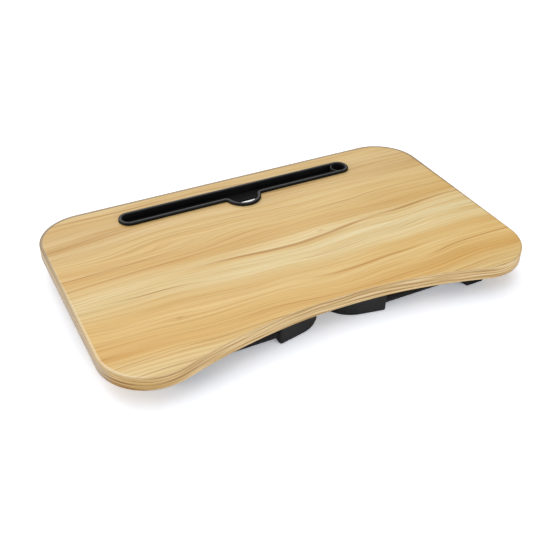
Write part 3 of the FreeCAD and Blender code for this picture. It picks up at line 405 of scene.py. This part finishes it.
def make_band():
    """Edge strip: close grain lines, painted sheen at the end, painted shade at the corner,
    plain arris, dark rim.
    """
    finish, shader = start_finish("printed_edge_band")
    place = place_on_table(finish)
    axes = split(finish, place)
    wave = cloud(finish, stretch(finish, place, BAND_WAVE))
    up = reckon(finish, axes["Z"], reckon(finish, wave, BAND_WAVE_HEIGHT, "MULTIPLY"))
    grain = add_node(finish, "ShaderNodeCombineXYZ", {
        0: axes["X"], 1: axes["Y"], 2: up}).outputs[0]
    lines = cloud(finish, stretch(finish, grain, BAND_LINES), detail=1.0)
    colour = shade(finish, lines, BAND_TONES)

    # painted sheen: the left end face is greyed
    colour = lay_over(finish, spread(finish, axes["X"], *LEFT_END_SHEEN), colour, LEFT_END_SHEEN_GREY)
    # painted shade: the front left corner is darkened
    left = spread(finish, axes["X"], *CORNER_SHADE_FROM_LEFT)
    front = spread(finish, axes["Y"], *CORNER_SHADE_FROM_FRONT)
    corner = reckon(finish, left, front, "MULTIPLY")
    colour = lay_over(finish, corner, colour, CORNER_SHADE_TONE, "MULTIPLY")

    facing = add_node(finish, "ShaderNodeTexCoord", {}).outputs["Normal"]
    facing = split(finish, facing)["Z"]
    colour = lay_over(finish, spread(finish, facing, *ARRIS_FACES_UP), colour, ARRIS_WOOD)
    near = spread(finish, reach_in(finish, axes), *RIM_NEAR_OUTLINE)
    rear = spread(finish, axes["Y"], *FRONT_TO_REAR, *BAND_RIM_STRENGTH)
    near = reckon(finish, near, rear, "MULTIPLY")
    rim = reckon(finish, spread(finish, facing, *RIM_FACES_UP), near, "MULTIPLY")
    colour = lay_over(finish, rim, colour, RIM_BROWN)

    feed(finish, shader, colour)
    shader.inputs["Roughness"].default_value = BAND_ROUGHNESS
    shader.inputs["Specular IOR Level"].default_value = BAND_GLOSS
    emboss(finish, shader, lines, FINE_RELIEF, RELIEF_HEIGHT)
    return finish


dress(make_band(), "edge_band")

# --- Tablet slot insert ------------------------------------------------------------------
# One black injection moulding: a raised rim round a long trough, with a cable notch and a
# pen well. It drops into the routed slot and its lip lies on the board.

MOULDED_BLACK = (0.004, 0.004, 0.004)
MOULDED_GREY = (0.008, 0.008, 0.009)
INSERT_GRIT = 2600.0
INSERT_ROUGHNESS = 0.36
INSERT_RELIEF = 0.10
INSERT_GLOSS = 0.22
TROUGH_ROUGHNESS = 0.90
DULL_UP_TO = 0.0480
SATIN_FROM = 0.0504
CLOUD_SCALE = 22.0
GRIT_RANGE = (0.3, 0.7)
ROUGHNESS_PLAY = 0.05


def make_moulding(name, dark, light, grit, roughness, relief, gloss):
    """Dark plastic, rubber or paint with a fine texture; grit is its grains in a metre."""
    finish, shader = start_finish(name)
    place = place_on_table(finish)
    grain = cloud(finish, stretch(finish, place, (grit,) * 3), detail=3.0, roughness=0.6)
    clouds = cloud(finish, stretch(finish, place, (CLOUD_SCALE,) * 3), detail=3.0)
    ends = (roughness - ROUGHNESS_PLAY, roughness + ROUGHNESS_PLAY)
    rough = spread(finish, grain, *GRIT_RANGE, *ends)
    feed(finish, shader, mottle(finish, clouds, dark, light), rough)
    shader.inputs["Specular IOR Level"].default_value = gloss
    emboss(finish, shader, grain, relief, RELIEF_HEIGHT)
    return finish


def dull_the_trough(finish):
    """Leave the rim satin and make the trough inside it dull."""
    shader = finish.node_tree.nodes["Principled BSDF"]
    height = split(finish, place_on_table(finish))["Z"]
    feed(finish, shader, rough=spread(
        finish, height, DULL_UP_TO, SATIN_FROM, TROUGH_ROUGHNESS, INSERT_ROUGHNESS))


moulding = make_moulding(
    "satin_black_moulding", MOULDED_BLACK, MOULDED_GREY, INSERT_GRIT, INSERT_ROUGHNESS,
    INSERT_RELIEF, INSERT_GLOSS)
dull_the_trough(moulding)
dress(moulding, "tablet_slot_insert")

# --- Hinge brackets and knuckles ---------------------------------------------------------
# Each end of a leg turns between the cheeks of a nylon bracket. Both mouldings are black
# nylon with a fine spark-eroded texture, so that scratches do not show.

CORNERS = ["front_right", "back_right", "front_left", "back_left"]
NYLON_BLACK = (0.006, 0.006, 0.006)
NYLON_GREY = (0.011, 0.011, 0.012)
NYLON_GRIT = 1500.0
NYLON_ROUGHNESS = 0.55
NYLON_RELIEF = 0.35
NYLON_GLOSS = 0.20

nylon = make_moulding(
    "textured_black_nylon", NYLON_BLACK, NYLON_GREY, NYLON_GRIT, NYLON_ROUGHNESS,
    NYLON_RELIEF, NYLON_GLOSS)
for corner in CORNERS:
    dress(nylon, f"hinge_bracket_{corner}", f"leg_knuckle_{corner}")

# --- Screws, pins and washers ------------------------------------------------------------
# Zinc-plated steel: pan-head screws drive up into the core, and a headed pin with a push-on
# washer holds each knuckle.

ZINC_LIGHT = (0.62, 0.62, 0.60)
ZINC_DARK = (0.42, 0.42, 0.43)
STAIN_SCALE = 400.0
STAIN_ROUGHNESS = (0.3, 0.7, 0.42, 0.28)


def make_zinc():
    """Bright zinc plate with faint cloudy stains."""
    finish, shader = start_finish("zinc_plate")
    place = stretch(finish, place_on_table(finish), (STAIN_SCALE,) * 3)
    stain = cloud(finish, place, detail=4.0, roughness=0.6)
    colour = mottle(finish, stain, ZINC_DARK, ZINC_LIGHT)
    feed(finish, shader, colour, spread(finish, stain, *STAIN_ROUGHNESS))
    shader.inputs["Metallic"].default_value = 1.0
    return finish


zinc = make_zinc()
for corner in CORNERS:
    dress(zinc, f"bracket_screws_{corner}", f"hinge_pin_{corner}", f"pin_retainer_{corner}")

# --- Legs --------------------------------------------------------------------------------
# Each leg is one steel tube, bent cold into a U and powder coated black. The baked coat
# keeps a faint orange-peel ripple.

COAT_BLACK = (0.005, 0.005, 0.005)
COAT_GREY = (0.010, 0.010, 0.011)
COAT_RIPPLE = 700.0
COAT_ROUGHNESS = 0.42
COAT_RELIEF = 0.20
COAT_GLOSS = 0.22

coat = make_moulding(
    "black_powder_coat", COAT_BLACK, COAT_GREY, COAT_RIPPLE, COAT_ROUGHNESS,
    COAT_RELIEF, COAT_GLOSS)
dress(coat, "leg_tube_right", "leg_tube_left")

# --- Corner shoes ------------------------------------------------------------------------
# Dark rubber shoes, slipped over the tube before its knuckles go in. They grip the bed
# when the legs are open and rest on the floor when they are folded.

RUBBER_DARK = (0.012, 0.012, 0.013)
RUBBER_LIGHT = (0.021, 0.021, 0.023)
RUBBER_GRIT = 1200.0
RUBBER_ROUGHNESS = 0.62
RUBBER_RELIEF = 0.25
RUBBER_GLOSS = 0.40

rubber = make_moulding(
    "matt_dark_rubber", RUBBER_DARK, RUBBER_LIGHT, RUBBER_GRIT, RUBBER_ROUGHNESS,
    RUBBER_RELIEF, RUBBER_GLOSS)
for corner in CORNERS:
    dress(rubber, f"corner_shoe_{corner}")

# --- Floor and light ---------------------------------------------------------------------
# A plain white floor that runs out of sight, a broad lamp overhead, a long one behind, low
# fills in front and at the left, and an even white room. The floor keeps the table's shadow.
# The camera sees the floor lifted to white, and far from the table as white as the room.

FLOOR_HALF = 6.0
FLOOR_WHITE = (0.80, 0.80, 0.80)
FLOOR_SEEN = (1.13, 1.17, 1.25)
FLOOR_LIFT = (0.222, 0.228, 0.240)
FAR_FROM = 0.9
FAR_TO = 2.0
UNIT_SQUARE = [(-1, -1), (1, -1), (1, 1), (-1, 1)]
ROOM_WHITE = (1.0, 1.0, 1.0)
ROOM_LEVEL = 0.28
LAMPS = [
    # name, place, width, height, power, whether it shows in glossy surfaces
    ("overhead_lamp", (-0.2, 0.1, 2.6), 4.4, 3.4, 43.8, True),
    ("back_lamp", (0.2, 3.0, 2.1), 4.0, 1.4, 50.0, True),
    ("front_fill", (0.9, -3.2, 1.0), 3.0, 0.8, 53.0, False),
    ("left_fill", (-2.7, 0.7, 0.7), 2.0, 0.6, 26.0, True),
]


def lay_floor():
    """A large flat sheet at the folded table's lowest point."""
    level = cad_box[0][2]
    mesh = bpy.data.meshes.new("floor")
    spots = [(x * FLOOR_HALF, y * FLOOR_HALF, level) for x, y in UNIT_SQUARE]
    mesh.from_pydata(spots, [], [(0, 1, 2, 3)])
    floor = bpy.data.objects.new("floor", mesh)
    bpy.context.scene.collection.objects.link(floor)
    finish, shader = start_finish("white_floor")
    seen = add_node(finish, "ShaderNodeLightPath", {}).outputs["Is Camera Ray"]
    tone = lay_over(finish, seen, FLOOR_WHITE, FLOOR_SEEN)
    matt = add_node(finish, "ShaderNodeBsdfDiffuse", {"Color": tone}).outputs["BSDF"]
    away = add_node(finish, "ShaderNodeVectorMath", {
        0: place_on_table(finish)}, operation="LENGTH").outputs["Value"]
    glow = lay_over(finish, spread(finish, away, FAR_FROM, FAR_TO), FLOOR_LIFT, ROOM_WHITE)
    lift = add_node(
        finish, "ShaderNodeEmission", {"Color": glow, "Strength": seen}).outputs["Emission"]
    both = add_node(finish, "ShaderNodeAddShader", {0: matt, 1: lift}).outputs["Shader"]
    surface = finish.node_tree.nodes["Material Output"].inputs["Surface"]
    finish.node_tree.nodes.remove(shader)
    finish.node_tree.links.new(both, surface)
    mesh.materials.append(finish)


def light_room():
    """An even room that the camera sees as plain white."""
    world = bpy.data.worlds.new("white_room")
    world.use_nodes = True
    bpy.context.scene.world = world
    background = world.node_tree.nodes["Background"]
    background.inputs["Color"].default_value = (*ROOM_WHITE, 1.0)
    seen = world.node_tree.nodes.new("ShaderNodeLightPath")
    level = world.node_tree.nodes.new("ShaderNodeMapRange")
    level.inputs["To Min"].default_value = ROOM_LEVEL
    level.inputs["To Max"].default_value = 1.0
    world.node_tree.links.new(seen.outputs["Is Camera Ray"], level.inputs["Value"])
    world.node_tree.links.new(level.outputs["Result"], background.inputs["Strength"])


def hang_lamp(name, place, width, height, power, shows_in_gloss):
    """A soft lamp that faces the table."""
    light = bpy.data.lights.new(name, "AREA")
    light.shape = "RECTANGLE"
    light.size = width
    light.size_y = height
    light.energy = power
    lamp = bpy.data.objects.new(name, light)
    lamp.location = place
    lamp.rotation_euler = (-Vector(place)).to_track_quat("-Z", "Y").to_euler()
    lamp.visible_glossy = shows_in_gloss
    bpy.context.scene.collection.objects.link(lamp)


lay_floor()
light_room()
for lamp in LAMPS:
    hang_lamp(*lamp)

# --- Camera ------------------------------------------------------------------------------
# It looks down on the table from the front left, at the angle of the photograph.

CAMERA_TURN = math.radians(-28.175)
CAMERA_HEIGHT_ANGLE = math.radians(36.653)
CAMERA_ROLL = math.radians(1.158)
CAMERA_DISTANCE = 1.041162
CAMERA_AIM = Vector((-0.045705, -0.081549, 0.047))
CAMERA_LENS = 52.638
CAMERA_FILM = 36.0


def place_camera():
    """The camera, turned and tipped about the point it aims at."""
    level = math.cos(CAMERA_HEIGHT_ANGLE)
    back = Vector((
        math.sin(CAMERA_TURN) * level,
        -math.cos(CAMERA_TURN) * level,
        math.sin(CAMERA_HEIGHT_ANGLE),
    ))
    data = bpy.data.cameras.new("photo_camera")
    data.lens = CAMERA_LENS
    data.sensor_width = CAMERA_FILM
    camera = bpy.data.objects.new("photo_camera", data)
    facing = (-back).to_track_quat("-Z", "Y")
    roll = Quaternion((0.0, 0.0, 1.0), CAMERA_ROLL)
    camera.rotation_euler = (facing @ roll).to_euler()
    camera.location = CAMERA_AIM + back * CAMERA_DISTANCE
    bpy.context.scene.collection.objects.link(camera)
    bpy.context.scene.camera = camera


place_camera()
bpy.context.scene.view_settings.view_transform = "Standard"
